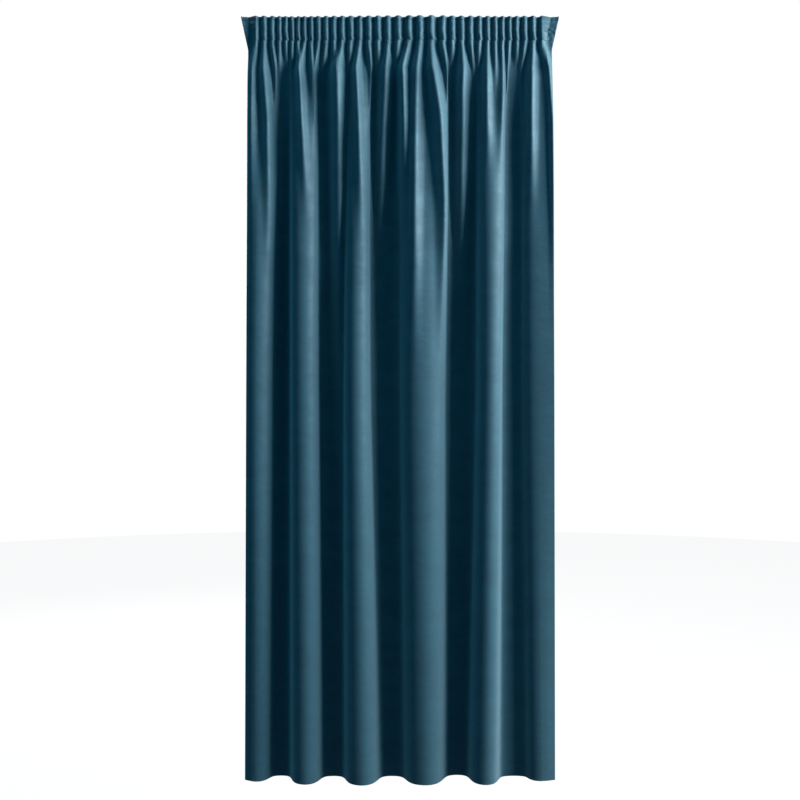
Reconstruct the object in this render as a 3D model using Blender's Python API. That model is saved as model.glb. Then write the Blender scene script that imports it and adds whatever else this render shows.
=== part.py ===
"""A velvet curtain gathered on a pencil-pleat tape, as it hangs from its top edge.

Metres, +Z up, +X to the right as seen from the front, and the front faces -Y. The origin is the
middle of the top edge, where a rail holds it, so the cloth hangs down to -DROP.

Every level of the cloth is one wavy line, seen from above, whose length is the cloth's own
width. At the tape that width goes into the narrow pleats. Below it the pleats open one after
another, and what they let go makes the six broad folds deeper.
"""

from collections import namedtuple

import bpy
import numpy as np

# The cloth as it lies flat, with its hems sewn.
FLAT_WIDTH = 1.40
DROP = 2.45
CLOTH = 0.0010
DOUBLED = 2 * CLOTH
HEADER_DEPTH = 0.105
SIDE_HEM = 0.025
BOTTOM_HEM = 0.080
HEM_STEP = 0.002

# The gathering tape sewn behind the header.
TAPE_TOP = 0.009
TAPE_DEPTH = 0.075
TAPE_END = TAPE_TOP + TAPE_DEPTH
TAPE_THICKNESS = 0.0008
TAPE_GAP = 0.0003

# Half the width that the hung curtain covers, and how far the header's corners flare past it.
HALF_WIDTH_TOP = 0.4885
HALF_WIDTH_HEM = 0.498
CORNER_FLARE = 0.0225

# The broad folds from left to right. left and right say where a fold's sides stand at the levels
# below, stand, stand_hem and floor how far to the front the fold, its hem and the hollow after
# it reach, and crisp_left and crisp_right how square and upright its two sides are.
Fold = namedtuple(
    "Fold",
    "name left_upper left_middle left_hem right_upper right_middle right_hem stand stand_hem "
    "floor crisp_left crisp_right",
)
FOLD_LEVELS = (0.30, 1.20, DROP)
FOLDS = (
    Fold("fold 1", -0.525, -0.530, -0.508, -0.398, -0.410, -0.419, 0.034, 0.018, -0.039, 0.0, 0.3),
    Fold("fold 2", -0.351, -0.351, -0.349, -0.266, -0.264, -0.254, 0.044, 0.044, -0.035, 0.7, 0.9),
    Fold("fold 3", -0.168, -0.179, -0.175, -0.098, -0.097, -0.068, 0.052, 0.052, -0.035, 0.7, 1.0),
    Fold("fold 4", 0.003, 0.003, 0.018, 0.154, 0.142, 0.142, 0.050, 0.050, -0.045, 1.0, 1.0),
    Fold("fold 5", 0.250, 0.248, 0.224, 0.338, 0.327, 0.319, 0.047, 0.047, -0.037, 0.4, 1.0),
    Fold("fold 6", 0.398, 0.398, 0.411, 0.455, 0.492, 0.496, 0.013, 0.013, -0.004, 0.3, 0.0),
)
# How far to the front the cloth's two side edges reach at the same levels.
Edge = namedtuple("Edge", "name upper middle hem")
EDGES = (
    Edge("left edge", 0.010, 0.010, 0.000),
    Edge("right edge", 0.024, 0.022, 0.001),
)
# The points that a fold's curve is drawn to, in shares of its width and of its height: for a
# fold that is soft all over, and for one whose sides are square and upright.
Form = namedtuple("Form", "name soft_across soft_up crisp_across crisp_up")
FORM = (
    Form("left foot", -0.13, -0.02, -0.08, -0.04),
    Form("left side", -0.01, 0.33, 0.00, 0.36),
    Form("shoulder", 0.12, 0.88, 0.12, 1.00),
    Form("crest", 0.50, 1.09, 0.48, 1.10),
    Form("brow", 0.84, 0.90, 0.88, 0.94),
    Form("right side", 1.00, 0.34, 1.03, 0.45),
    Form("right foot", 1.13, -0.02, 1.00, -0.08),
)
# The side edges take the place of the outermost folds' outer shoulder or brow, side and foot.
CUT_POINTS = 3
# How crispness goes from nothing at the tape to its full value, and on to nothing at the hem.
CRISP_LEVELS = (0.10, 0.25, 1.10, DROP)
# How fast the broad folds deepen below the tape, in shares of their full depth to the metre.
DEEPENING = 1.5

# The pleats are gathered unevenly: the pitch between them at places along the tape.
Pitch = namedtuple("Pitch", "x pitch")
PITCHES = (
    Pitch(-0.463, 0.0289),
    Pitch(-0.420, 0.0257),
    Pitch(-0.385, 0.0215),
    Pitch(-0.340, 0.0190),
    Pitch(-0.300, 0.0215),
    Pitch(-0.222, 0.0260),
    Pitch(-0.094, 0.0300),
    Pitch(0.003, 0.0340),
    Pitch(0.121, 0.0385),
    Pitch(0.150, 0.0300),
    Pitch(0.230, 0.0290),
    Pitch(0.300, 0.0240),
    Pitch(0.350, 0.0224),
    Pitch(0.400, 0.0270),
    Pitch(0.457, 0.0289),
)
FIRST_PLEAT = -0.463
LAST_PLEAT = 0.456
PLEATS = 35
PLEAT_REACH = 0.85
# How much rounder a pleat's crest and hollow are than a plain wave, as a share of the pitch.
PLEAT_ROUNDING = 0.45
ROUNDED_BELOW_TAPE = 0.10
SHORTEST_PLEAT = 0.09
LONGEST_PLEAT = 0.24

# Pleats that run on below the tape: where each stands at the levels below, how far down it
# reaches, how far to the front and how wide to each side it is, and how far it leans over to
# the right.
Runner = namedtuple("Runner", "pleat x_upper x_middle x_lower reach stand half_width lean")
RUNNER_OPENING = 0.12
RUNNER_LEVELS = (0.17, 0.33, 0.62)
RUNNER_FADE = 0.65
RUNNERS = (
    Runner(0, -0.473, -0.475, -0.478, 0.60, 0.018, 0.032, 0.0),
    Runner(1, -0.438, -0.425, -0.419, 0.80, 0.020, 0.032, 0.1),
    Runner(2, -0.403, -0.400, -0.400, 0.25, 0.010, 0.012, 0.5),
    Runner(5, -0.349, -0.346, -0.344, 2.00, 0.002, 0.010, 0.0),
    Runner(7, -0.323, -0.315, -0.297, 0.60, 0.020, 0.028, 0.1),
    Runner(8, -0.284, -0.284, -0.284, 0.25, 0.010, 0.012, 0.2),
    Runner(9, -0.274, -0.275, -0.275, 0.30, 0.011, 0.015, 0.0),
    Runner(10, -0.245, -0.243, -0.243, 0.18, 0.005, 0.012, 0.0),
    Runner(12, -0.200, -0.197, -0.197, 1.40, 0.044, 0.048, 0.0),
    Runner(13, -0.166, -0.172, -0.176, 2.00, 0.002, 0.010, 0.0),
    Runner(14, -0.142, -0.134, -0.124, 0.70, 0.020, 0.030, 0.1),
    Runner(15, -0.096, -0.098, -0.098, 0.30, 0.010, 0.012, 0.5),
    Runner(17, -0.046, -0.052, -0.060, 0.90, 0.032, 0.040, 0.0),
    Runner(18, -0.017, -0.017, -0.017, 0.18, 0.005, 0.012, 0.0),
    Runner(19, 0.006, 0.008, 0.006, 0.70, 0.035, 0.042, 0.0),
    Runner(20, 0.054, 0.050, 0.046, 1.05, 0.027, 0.044, 0.0),
    Runner(21, 0.100, 0.122, 0.139, 1.20, 0.034, 0.042, 0.1),
    Runner(22, 0.144, 0.145, 0.145, 0.30, 0.010, 0.012, 0.5),
    Runner(24, 0.206, 0.208, 0.206, 1.00, 0.034, 0.038, 0.0),
    Runner(25, 0.236, 0.238, 0.238, 0.18, 0.005, 0.012, 0.0),
    Runner(26, 0.249, 0.252, 0.254, 2.00, 0.002, 0.012, 0.0),
    Runner(27, 0.278, 0.277, 0.282, 0.45, 0.019, 0.032, 0.0),
    Runner(29, 0.325, 0.322, 0.318, 0.45, 0.013, 0.022, 0.2),
    Runner(30, 0.343, 0.343, 0.343, 0.28, 0.010, 0.012, 0.5),
    Runner(32, 0.388, 0.394, 0.398, 2.00, 0.004, 0.012, 0.0),
    Runner(33, 0.421, 0.419, 0.420, 0.60, 0.021, 0.036, 0.0),
    Runner(34, 0.476, 0.486, 0.489, 0.90, 0.014, 0.020, 0.0),
)

# The mesh: each level of the cloth, with every how many-th column it keeps.
Level = namedtuple("Level", "drop every")
LEVELS = (
    Level(0.0, 1),
    Level(TAPE_TOP, 1),
    Level(TAPE_END, 1),
    Level(0.094, 1),
    Level(HEADER_DEPTH, 1),
    Level(0.125, 1),
    Level(0.150, 1),
    Level(0.185, 1),
    Level(0.225, 2),
    Level(0.280, 2),
    Level(0.360, 2),
    Level(0.500, 2),
    Level(0.600, 2),
    Level(0.700, 2),
    Level(0.950, 2),
    Level(1.250, 3),
    Level(1.600, 3),
    Level(1.950, 3),
    Level(DROP - BOTTOM_HEM - HEM_STEP, 3),
    Level(DROP - BOTTOM_HEM, 3),
    Level(DROP, 3),
)
COLUMNS_PER_PLEAT = 6
EDGE_COLUMNS = (0.0, 0.012, SIDE_HEM, SIDE_HEM + HEM_STEP)
SAMPLES = 2400

# Halving finds each level's values between these: pleat heights in shares of their pitch, the
# broad folds' depth in shares of its value at the hem, and how much the pleats swell.
HALVINGS = 30
PLEAT_HEIGHTS = (0.1, 1.4)
DEPTHS = (0.0, 1.6)
SWELLS = (0.7, 2.0)

VELVET = ("velvet", (0.012, 0.070, 0.115), 0.85)
TAPE_CLOTH = ("tape_cloth", (0.62, 0.64, 0.64), 0.90)


def clear_scene():
    for obj in list(bpy.data.objects):
        bpy.data.objects.remove(obj, do_unlink=True)


def finish(name, colour, roughness):
    """A plain matt material."""
    material = bpy.data.materials.new(name)
    material.use_nodes = True
    shader = material.node_tree.nodes["Principled BSDF"]
    shader.inputs["Base Color"].default_value = (*colour, 1.0)
    shader.inputs["Roughness"].default_value = roughness
    shader.inputs["Metallic"].default_value = 0.0
    return material


def ease(share):
    """A smooth step from 0 to 1."""
    share = np.clip(share, 0.0, 1.0)
    return share * share * (3.0 - 2.0 * share)


def pleat_places():
    """Where the pleats stand along the tape, from the uneven pitch between them."""
    x = np.linspace(FIRST_PLEAT, LAST_PLEAT, SAMPLES)
    density = 1.0 / np.interp(x, [p.x for p in PITCHES], [p.pitch for p in PITCHES])
    count = np.concatenate([[0.0], np.cumsum((density[1:] + density[:-1]) / 2)])
    return np.interp(np.arange(PLEATS), count * (PLEATS - 1) / count[-1], x)


def half_width(drop):
    """Half the hung width: it widens a little to the hem, and the header's corners flare."""
    body = np.interp(drop, [HEADER_DEPTH, DROP], [HALF_WIDTH_TOP, HALF_WIDTH_HEM])
    return body + CORNER_FLARE * np.clip(1.0 - drop / HEADER_DEPTH, 0.0, 1.0)


def spline(points):
    """Each row's uniform cubic B-spline, which starts and ends at its first and last point."""
    first, last = 2 * points[:, :1] - points[:, 1:2], 2 * points[:, -1:] - points[:, -2:-1]
    points = np.hstack([first, points, last])
    along = np.linspace(0, points.shape[1] - 3, SAMPLES)
    start = np.minimum(along.astype(int), points.shape[1] - 4)
    t = along - start
    weights = (
        (1 - t) ** 3 / 6,
        (3 * t**3 - 6 * t**2 + 4) / 6,
        (-3 * t**3 + 3 * t**2 + 3 * t + 1) / 6,
        t**3 / 6,
    )
    return sum(weight * points[:, start + step] for step, weight in enumerate(weights))


def broad_folds(drop):
    """x, stand and plain x of the broad folds, a row for each level.

    The line is a uniform cubic spline drawn to the points of each fold's form. Plain x is the
    same with every fold soft.
    """
    crest = (len(FORM) - 1) / 2
    plain_x, across, up = [], [], []
    for number, fold in enumerate(FOLDS):
        left = np.interp(drop, FOLD_LEVELS, (fold.left_upper, fold.left_middle, fold.left_hem))
        right = np.interp(drop, FOLD_LEVELS, (fold.right_upper, fold.right_middle, fold.right_hem))
        floor = (FOLDS[max(number - 1, 0)].floor, fold.floor)
        stand = np.interp(drop, FOLD_LEVELS, (fold.stand, fold.stand, fold.stand_hem))
        for place, form in enumerate(FORM):
            upper = fold.crisp_left if place < crest else fold.crisp_right
            crisp = np.interp(drop, CRISP_LEVELS, (0.0, upper, upper, 0.0))
            foot = floor[place > crest]
            share = form.soft_across + (form.crisp_across - form.soft_across) * crisp
            height = form.soft_up + (form.crisp_up - form.soft_up) * crisp
            plain_x.append(left + (right - left) * form.soft_across)
            across.append(left + (right - left) * share)
            up.append(foot + (stand - foot) * height)
    plain_x, across, up = (np.array(values).T for values in (plain_x, across, up))
    side = half_width(drop)[:, None]
    ends = [
        np.interp(drop, FOLD_LEVELS, (edge.upper, edge.middle, edge.hem))[:, None]
        for edge in EDGES
    ]
    kept = slice(CUT_POINTS, -CUT_POINTS)
    plain_x = np.hstack([-side, plain_x[:, kept], side])
    across = np.hstack([-side, across[:, kept], side])
    up = np.hstack([ends[0], up[:, kept], ends[1]])
    return spline(across), spline(up), spline(plain_x)


def ridge(share):
    """The outline of one pleat from above: a rounded crest that ends level at -1 and 1."""
    return np.cos(np.pi / 2 * np.clip(share, -1.0, 1.0)) ** 4


def short_pleat(place, tall, reach, drop, length):
    """Crest, height, reach to each side and lean, at each level, of a pleat that soon opens."""
    height = tall * (1 - ease((drop - TAPE_END) / length))
    same = np.ones_like(drop)
    return place * same, height, reach[0] * same, reach[1] * same, 0 * same


def running_pleat(place, tall, reach, drop, run):
    """The same for a pleat that runs on below the tape as a fold of its own."""
    opened = ease((drop - TAPE_END) / RUNNER_OPENING)
    start = TAPE_END + (1 - RUNNER_FADE) * run.reach
    gone = ease((drop - start) / (RUNNER_FADE * run.reach))
    levels = (TAPE_END, *RUNNER_LEVELS)
    crest = np.interp(drop, levels, (place, run.x_upper, run.x_middle, run.x_lower))
    height = (tall * (1 - opened) + run.stand * opened) * (1 - gone)
    left, right = (side * (1 - opened) + run.half_width * opened for side in reach)
    return crest, height, left, right, run.lean * opened


def pleats(drop, plain, tallness):
    """How far the pleats stand to the front and go to the right, along each level.

    A sine of twice the pleats' pace goes to the right as well. It is what rounds their crests
    and hollows and makes their sides upright.
    """
    places = pleat_places()
    gaps = np.diff(places)
    lengths = np.random.default_rng(5).uniform(SHORTEST_PLEAT, LONGEST_PLEAT, PLEATS)
    running = {run.pleat: run for run in RUNNERS}
    stand = np.zeros_like(plain)
    ends = np.concatenate([[1.5 * places[0] - places[1] / 2], places])
    ends = np.concatenate([ends, [1.5 * places[-1] - places[-2] / 2]])
    count = np.interp(plain, ends, np.concatenate([[-0.5], np.arange(PLEATS), [PLEATS - 0.5]]))
    pitch = np.interp(count, np.arange(PLEATS - 1) + 0.5, gaps)
    fade = 1 - ease((drop - TAPE_END) / ROUNDED_BELOW_TAPE)[:, None]
    right = PLEAT_ROUNDING * fade * pitch * np.sin(4 * np.pi * count) / (4 * np.pi)
    for number, place in enumerate(places):
        gap = gaps[max(number - 1, 0)], gaps[min(number, PLEATS - 2)]
        tall = tallness * (gap[0] + gap[1]) / 2
        reach = PLEAT_REACH * gap[0], PLEAT_REACH * gap[1]
        if number in running:
            shape = running_pleat(place, tall, reach, drop, running[number])
        else:
            shape = short_pleat(place, tall, reach, drop, lengths[number])
        crest, height, before, after, over = (values[:, None] for values in shape)
        off = plain - crest
        here = height * ridge(off / np.where(off < 0, before, after))
        stand += here
        right += over * here
    return stand, right


def length_of(x, y):
    return np.hypot(np.diff(x, axis=1), np.diff(y, axis=1)).sum(axis=1)


def solve(width_of, limits, rows):
    """By halving, the value for each level at which width_of gives the cloth's flat width."""
    low, high = (np.full(rows, limit) for limit in limits)
    for _ in range(HALVINGS):
        middle = (low + high) / 2
        short = width_of(middle) < FLAT_WIDTH
        low = np.where(short, middle, low)
        high = np.where(short, high, middle)
    return (low + high) / 2


def tallness_at(drop):
    """How tall the pleats are, as a share of their pitch, to take up all the cloth on the tape."""
    taped = np.minimum(drop, TAPE_END)
    x, _, plain = broad_folds(taped)

    def width_of(tallness):
        stand, right = pleats(taped, plain, tallness)
        return length_of(x + right, stand)

    return solve(width_of, PLEAT_HEIGHTS, len(drop))


def sections(drop):
    """The cloth's front as seen from above, x and y along each level.

    On the tape the pleats take up the cloth. Below it the broad folds are as deep as it takes
    for the line to keep the cloth's width, but they deepen gradually and the pleats swell to
    take up the rest.
    """
    x, broad, plain = broad_folds(drop)
    tallness = tallness_at(drop)
    stand, right = pleats(drop, plain, tallness)
    rows = len(drop)
    depth = solve(lambda k: length_of(x + right, broad * k[:, None] + stand), DEPTHS, rows)
    most = np.maximum(DEEPENING * (drop - TAPE_END), 0.0)
    swollen = (depth > most) & (most > 0)
    depth = np.minimum(depth, most)[:, None]
    swell = solve(lambda k: length_of(x + right, broad * depth + stand * k[:, None]), SWELLS, rows)
    stand *= np.where(swollen, swell, 1.0)[:, None]
    middle = tallness[:, None] * np.mean(np.diff(pleat_places())) / 2
    settle = middle * (1 - ease(drop / HEADER_DEPTH - 1))[:, None]
    return x + right, settle - broad * depth - stand


def shares_along(x, y):
    """How far along the cloth each point of a line is, from 0 to 1."""
    steps = np.hypot(np.diff(x), np.diff(y))
    along = np.concatenate([[0.0], np.cumsum(steps)])
    return along / along[-1]


def column_shares(drop):
    """Where the mesh's columns lie across the cloth at each level: on the hems, and between them
    on the pleats. Below the tape they keep the places that they have at its lower edge.
    """
    taped = np.minimum(drop, TAPE_END)
    x, y = sections(taped)
    plain = broad_folds(taped)[2]
    count = np.arange((PLEATS - 1) * COLUMNS_PER_PLEAT + 1) / COLUMNS_PER_PLEAT
    places = np.interp(count, np.arange(PLEATS), pleat_places())
    edge = np.array(EDGE_COLUMNS) / FLAT_WIDTH
    shares = []
    for row in range(len(drop)):
        pleated = np.interp(places, plain[row], shares_along(x[row], y[row]))
        shares.append(np.concatenate([edge, pleated, 1 - edge[::-1]]))
    return shares


def front_points(drop):
    """The front of the cloth and the way to its back, as arrays of levels by columns by xyz."""
    columns = column_shares(drop)
    front = np.empty((len(drop), len(columns[0]), 3))
    back_way = np.zeros_like(front)
    x, y = sections(drop)
    for row, level in enumerate(drop):
        along = shares_along(x[row], y[row])
        turn_x, turn_y = np.gradient(x[row], along), np.gradient(y[row], along)
        front[row, :, 0] = np.interp(columns[row], along, x[row])
        front[row, :, 1] = np.interp(columns[row], along, y[row])
        front[row, :, 2] = -level
        back_way[row, :, 0] = np.interp(columns[row], along, -turn_y)
        back_way[row, :, 1] = np.interp(columns[row], along, turn_x)
    back_way /= np.linalg.norm(back_way, axis=2, keepdims=True)
    below = drop > TAPE_END
    back_way[below] = evened(back_way)[below]
    return front, back_way


def evened(ways):
    """Each way averaged with those of the columns beside it and the levels above and below."""
    wider = np.pad(ways, ((1, 1), (1, 1), (0, 0)), mode="edge")
    ways = (wider[:, :-2] + 2 * wider[:, 1:-1] + wider[:, 2:]) / 4
    ways = (ways[:-2] + 2 * ways[1:-1] + ways[2:]) / 4
    return ways / np.linalg.norm(ways, axis=2, keepdims=True)


def kept_columns(total, every):
    """The columns that a level keeps: those at both edges, and every second or third between."""
    ends = len(EDGE_COLUMNS)
    middle = list(range(ends, total - ends, every))
    return list(range(ends)) + middle + list(range(total - ends, total))


def strip(upper, lower):
    """Triangles between two levels, each a list of column numbers, facing the front."""
    faces = []
    i = j = 0
    while i < len(upper) - 1 or j < len(lower) - 1:
        down = i == len(upper) - 1
        if not down and j < len(lower) - 1:
            down = lower[j + 1] <= upper[i + 1]
        if down:
            faces.append(((0, upper[i]), (1, lower[j]), (1, lower[j + 1])))
            j += 1
        else:
            faces.append(((0, upper[i]), (1, lower[j]), (0, upper[i + 1])))
            i += 1
    return faces


def closed_sheet(name, near, far, kept, material):
    """One solid between two layers of points: its faces, and its rim on all four sides."""
    vertices = []
    number = {}
    for side, layer in enumerate((near, far)):
        for row, columns in enumerate(kept):
            for column in columns:
                number[side, row, column] = len(vertices)
                vertices.append(tuple(layer[row, column]))
    faces = []
    for row in range(len(kept) - 1):
        for corners in strip(kept[row], kept[row + 1]):
            here = [(row + down, column) for down, column in corners]
            faces.append([number[(0, *place)] for place in here])
            faces.append([number[(1, *place)] for place in reversed(here)])
    rim = [(0, column) for column in reversed(kept[0])]
    rim += [(row, kept[row][0]) for row in range(1, len(kept))]
    rim += [(len(kept) - 1, column) for column in kept[-1][1:]]
    rim += [(row, kept[row][-1]) for row in range(len(kept) - 2, -1, -1)]
    for start, end in zip(rim[:-1], rim[1:]):
        faces.append(
            [number[(0, *end)], number[(0, *start)], number[(1, *start)], number[(1, *end)]]
        )
    mesh = bpy.data.meshes.new(name)
    mesh.from_pydata(vertices, [], faces)
    mesh.update()
    mesh.shade_smooth()
    mesh.set_sharp_from_angle(angle=np.radians(60))
    mesh.materials.append(material)
    obj = bpy.data.objects.new(name, mesh)
    bpy.context.scene.collection.objects.link(obj)
    return obj


def build_cloth():
    """The velvet, twice as thick where its header and hems are turned to the back."""
    drop = np.array([level.drop for level in LEVELS])
    front, back_way = front_points(drop)
    total = front.shape[1]
    hem_columns = EDGE_COLUMNS.index(SIDE_HEM) + 1
    column = np.arange(total)
    side = (column < hem_columns) | (column >= total - hem_columns)
    ends = (drop <= HEADER_DEPTH) | (drop >= DROP - BOTTOM_HEM)
    thick = np.where(side[None, :] | ends[:, None], DOUBLED, CLOTH)
    kept = [kept_columns(total, level.every) for level in LEVELS]
    back = front + back_way * thick[:, :, None]
    return closed_sheet("curtain_cloth", front, back, kept, finish(*VELVET))


def build_tape():
    """The gathering tape, which follows every pleat behind the header."""
    drop = np.array([level.drop for level in LEVELS if TAPE_TOP <= level.drop <= TAPE_END])
    front, back_way = front_points(drop)
    taped = list(range(1, front.shape[1] - 1))
    near = front + back_way * (DOUBLED + TAPE_GAP)
    far = near + back_way * TAPE_THICKNESS
    return closed_sheet("heading_tape", near, far, [taped] * len(drop), finish(*TAPE_CLOTH))


def main():
    clear_scene()
    build_cloth()
    build_tape()


main()
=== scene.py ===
"""A velvet curtain gathered on a pencil-pleat tape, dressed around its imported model.

Metres, +Z up, +X to the right as seen from the front, and the front faces -Y. The origin is the
middle of the top edge. "drop" is how far below that edge something lies, and "across" how far
from the cloth's left edge, measured along the cloth.
"""

import math
from collections import namedtuple

import bpy
import numpy as np
from bpy.props import FloatProperty, FloatVectorProperty, IntProperty, PointerProperty
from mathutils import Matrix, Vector


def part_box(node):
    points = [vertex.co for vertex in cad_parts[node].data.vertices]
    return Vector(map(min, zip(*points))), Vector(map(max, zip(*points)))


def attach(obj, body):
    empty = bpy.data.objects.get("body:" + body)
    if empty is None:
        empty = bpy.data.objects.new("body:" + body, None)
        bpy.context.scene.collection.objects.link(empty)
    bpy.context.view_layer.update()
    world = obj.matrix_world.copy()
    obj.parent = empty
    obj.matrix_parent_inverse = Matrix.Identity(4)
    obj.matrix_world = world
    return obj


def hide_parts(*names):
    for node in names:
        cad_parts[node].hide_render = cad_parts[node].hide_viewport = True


bl_info = {
    "name": "Gathered velvet curtain",
    "version": (1, 0, 0),
    "blender": (4, 5, 0),
    "location": "View3D > Sidebar > Curtain",
    "description": "Makes a pencil-pleat velvet curtain with its tape, sewing, light and camera",
    "category": "Add Mesh",
}

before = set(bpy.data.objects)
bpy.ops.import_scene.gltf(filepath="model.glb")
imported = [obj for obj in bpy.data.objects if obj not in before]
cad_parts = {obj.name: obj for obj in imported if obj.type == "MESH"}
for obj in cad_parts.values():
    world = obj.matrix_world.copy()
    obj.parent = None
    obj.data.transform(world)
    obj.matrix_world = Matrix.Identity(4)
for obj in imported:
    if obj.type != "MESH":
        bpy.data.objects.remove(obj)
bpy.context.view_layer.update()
CLOTH_LOW, CLOTH_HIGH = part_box("curtain_cloth")
TAPE_LOW, TAPE_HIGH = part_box("heading_tape")

# The broad folds from left to right. left and right say where a fold's sides stand at the levels
# below, stand, stand_hem and floor how far to the front the fold, its hem and the hollow after
# it reach, and crisp_left and crisp_right how square and upright its two sides are.
Fold = namedtuple(
    "Fold",
    "name left_upper left_middle left_hem right_upper right_middle right_hem stand stand_hem "
    "floor crisp_left crisp_right",
)
FOLD_LEVELS = (0.30, 1.20, 2.45)
FOLDS = (
    Fold("fold 1", -0.525, -0.530, -0.508, -0.398, -0.410, -0.419, 0.034, 0.018, -0.039, 0.0, 0.3),
    Fold("fold 2", -0.351, -0.351, -0.349, -0.266, -0.264, -0.254, 0.044, 0.044, -0.035, 0.7, 0.9),
    Fold("fold 3", -0.168, -0.179, -0.175, -0.098, -0.097, -0.068, 0.052, 0.052, -0.035, 0.7, 1.0),
    Fold("fold 4", 0.003, 0.003, 0.018, 0.154, 0.142, 0.142, 0.050, 0.050, -0.045, 1.0, 1.0),
    Fold("fold 5", 0.250, 0.248, 0.224, 0.338, 0.327, 0.319, 0.047, 0.047, -0.037, 0.4, 1.0),
    Fold("fold 6", 0.398, 0.398, 0.411, 0.455, 0.492, 0.496, 0.013, 0.013, -0.004, 0.3, 0.0),
)
# How far to the front the cloth's two side edges reach at the same levels.
Edge = namedtuple("Edge", "name upper middle hem")
EDGES = (
    Edge("left edge", 0.010, 0.010, 0.000),
    Edge("right edge", 0.024, 0.022, 0.001),
)
# The points that a fold's curve is drawn to, in shares of its width and of its height: for a
# fold that is soft all over, and for one whose sides are square and upright.
Form = namedtuple("Form", "name soft_across soft_up crisp_across crisp_up")
FORM = (
    Form("left foot", -0.13, -0.02, -0.08, -0.04),
    Form("left side", -0.01, 0.33, 0.00, 0.36),
    Form("shoulder", 0.12, 0.88, 0.12, 1.00),
    Form("crest", 0.50, 1.09, 0.48, 1.10),
    Form("brow", 0.84, 0.90, 0.88, 0.94),
    Form("right side", 1.00, 0.34, 1.03, 0.45),
    Form("right foot", 1.13, -0.02, 1.00, -0.08),
)
# The side edges take the place of the outermost folds' outer shoulder or brow, side and foot.
CUT_POINTS = 3
# How crispness goes from nothing at the tape to its full value, and on to nothing at the hem.
CRISP_LEVELS = (0.10, 0.25, 1.10, 2.45)
# How fast the broad folds deepen below the tape, in shares of their full depth to the metre.
DEEPENING = 1.5

# The pleats are gathered unevenly: the pitch between them at places along the tape.
Pitch = namedtuple("Pitch", "x pitch")
PITCHES = (
    Pitch(-0.463, 0.0289),
    Pitch(-0.420, 0.0257),
    Pitch(-0.385, 0.0215),
    Pitch(-0.340, 0.0190),
    Pitch(-0.300, 0.0215),
    Pitch(-0.222, 0.0260),
    Pitch(-0.094, 0.0300),
    Pitch(0.003, 0.0340),
    Pitch(0.121, 0.0385),
    Pitch(0.150, 0.0300),
    Pitch(0.230, 0.0290),
    Pitch(0.300, 0.0240),
    Pitch(0.350, 0.0224),
    Pitch(0.400, 0.0270),
    Pitch(0.457, 0.0289),
)
FIRST_PLEAT = -0.463
LAST_PLEAT = 0.456
PLEATS = 35
PLEAT_REACH = 0.85
# How much rounder a pleat's crest and hollow are than a plain wave, as a share of the pitch.
PLEAT_ROUNDING = 0.45
ROUNDED_BELOW_TAPE = 0.10
SHORTEST_PLEAT = 0.09
LONGEST_PLEAT = 0.24
# How far a pleat's crest strays to either side, and how far it kinks to the right at the tape's
# lower sewing line.
PLEAT_SWAY = 0.0016
KINK_SWAY = 0.0034

# Pleats that run on below the tape: where each stands at the levels below, how far down it
# reaches, how far to the front and how wide to each side it is, and how far it leans over to
# the right.
Runner = namedtuple("Runner", "pleat x_upper x_middle x_lower reach stand half_width lean")
RUNNER_OPENING = 0.12
RUNNER_LEVELS = (0.17, 0.33, 0.62)
RUNNER_FADE = 0.65
RUNNERS = (
    Runner(0, -0.473, -0.475, -0.478, 0.60, 0.018, 0.032, 0.0),
    Runner(1, -0.438, -0.425, -0.419, 0.80, 0.020, 0.032, 0.1),
    Runner(2, -0.403, -0.400, -0.400, 0.25, 0.010, 0.012, 0.5),
    Runner(5, -0.349, -0.346, -0.344, 2.00, 0.002, 0.010, 0.0),
    Runner(7, -0.323, -0.315, -0.297, 0.60, 0.020, 0.028, 0.1),
    Runner(8, -0.284, -0.284, -0.284, 0.25, 0.010, 0.012, 0.2),
    Runner(9, -0.274, -0.275, -0.275, 0.30, 0.011, 0.015, 0.0),
    Runner(10, -0.245, -0.243, -0.243, 0.18, 0.005, 0.012, 0.0),
    Runner(12, -0.200, -0.197, -0.197, 1.40, 0.044, 0.048, 0.0),
    Runner(13, -0.166, -0.172, -0.176, 2.00, 0.002, 0.010, 0.0),
    Runner(14, -0.142, -0.134, -0.124, 0.70, 0.020, 0.030, 0.1),
    Runner(15, -0.096, -0.098, -0.098, 0.30, 0.010, 0.012, 0.5),
    Runner(17, -0.046, -0.052, -0.060, 0.90, 0.032, 0.040, 0.0),
    Runner(18, -0.017, -0.017, -0.017, 0.18, 0.005, 0.012, 0.0),
    Runner(19, 0.006, 0.008, 0.006, 0.70, 0.035, 0.042, 0.0),
    Runner(20, 0.054, 0.050, 0.046, 1.05, 0.027, 0.044, 0.0),
    Runner(21, 0.100, 0.122, 0.139, 1.20, 0.034, 0.042, 0.1),
    Runner(22, 0.144, 0.145, 0.145, 0.30, 0.010, 0.012, 0.5),
    Runner(24, 0.206, 0.208, 0.206, 1.00, 0.034, 0.038, 0.0),
    Runner(25, 0.236, 0.238, 0.238, 0.18, 0.005, 0.012, 0.0),
    Runner(26, 0.249, 0.252, 0.254, 2.00, 0.002, 0.012, 0.0),
    Runner(27, 0.278, 0.277, 0.282, 0.45, 0.019, 0.032, 0.0),
    Runner(29, 0.325, 0.322, 0.318, 0.45, 0.013, 0.022, 0.2),
    Runner(30, 0.343, 0.343, 0.343, 0.28, 0.010, 0.012, 0.5),
    Runner(32, 0.388, 0.394, 0.398, 2.00, 0.004, 0.012, 0.0),
    Runner(33, 0.421, 0.419, 0.420, 0.60, 0.021, 0.036, 0.0),
    Runner(34, 0.476, 0.486, 0.489, 0.90, 0.014, 0.020, 0.0),
)

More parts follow.
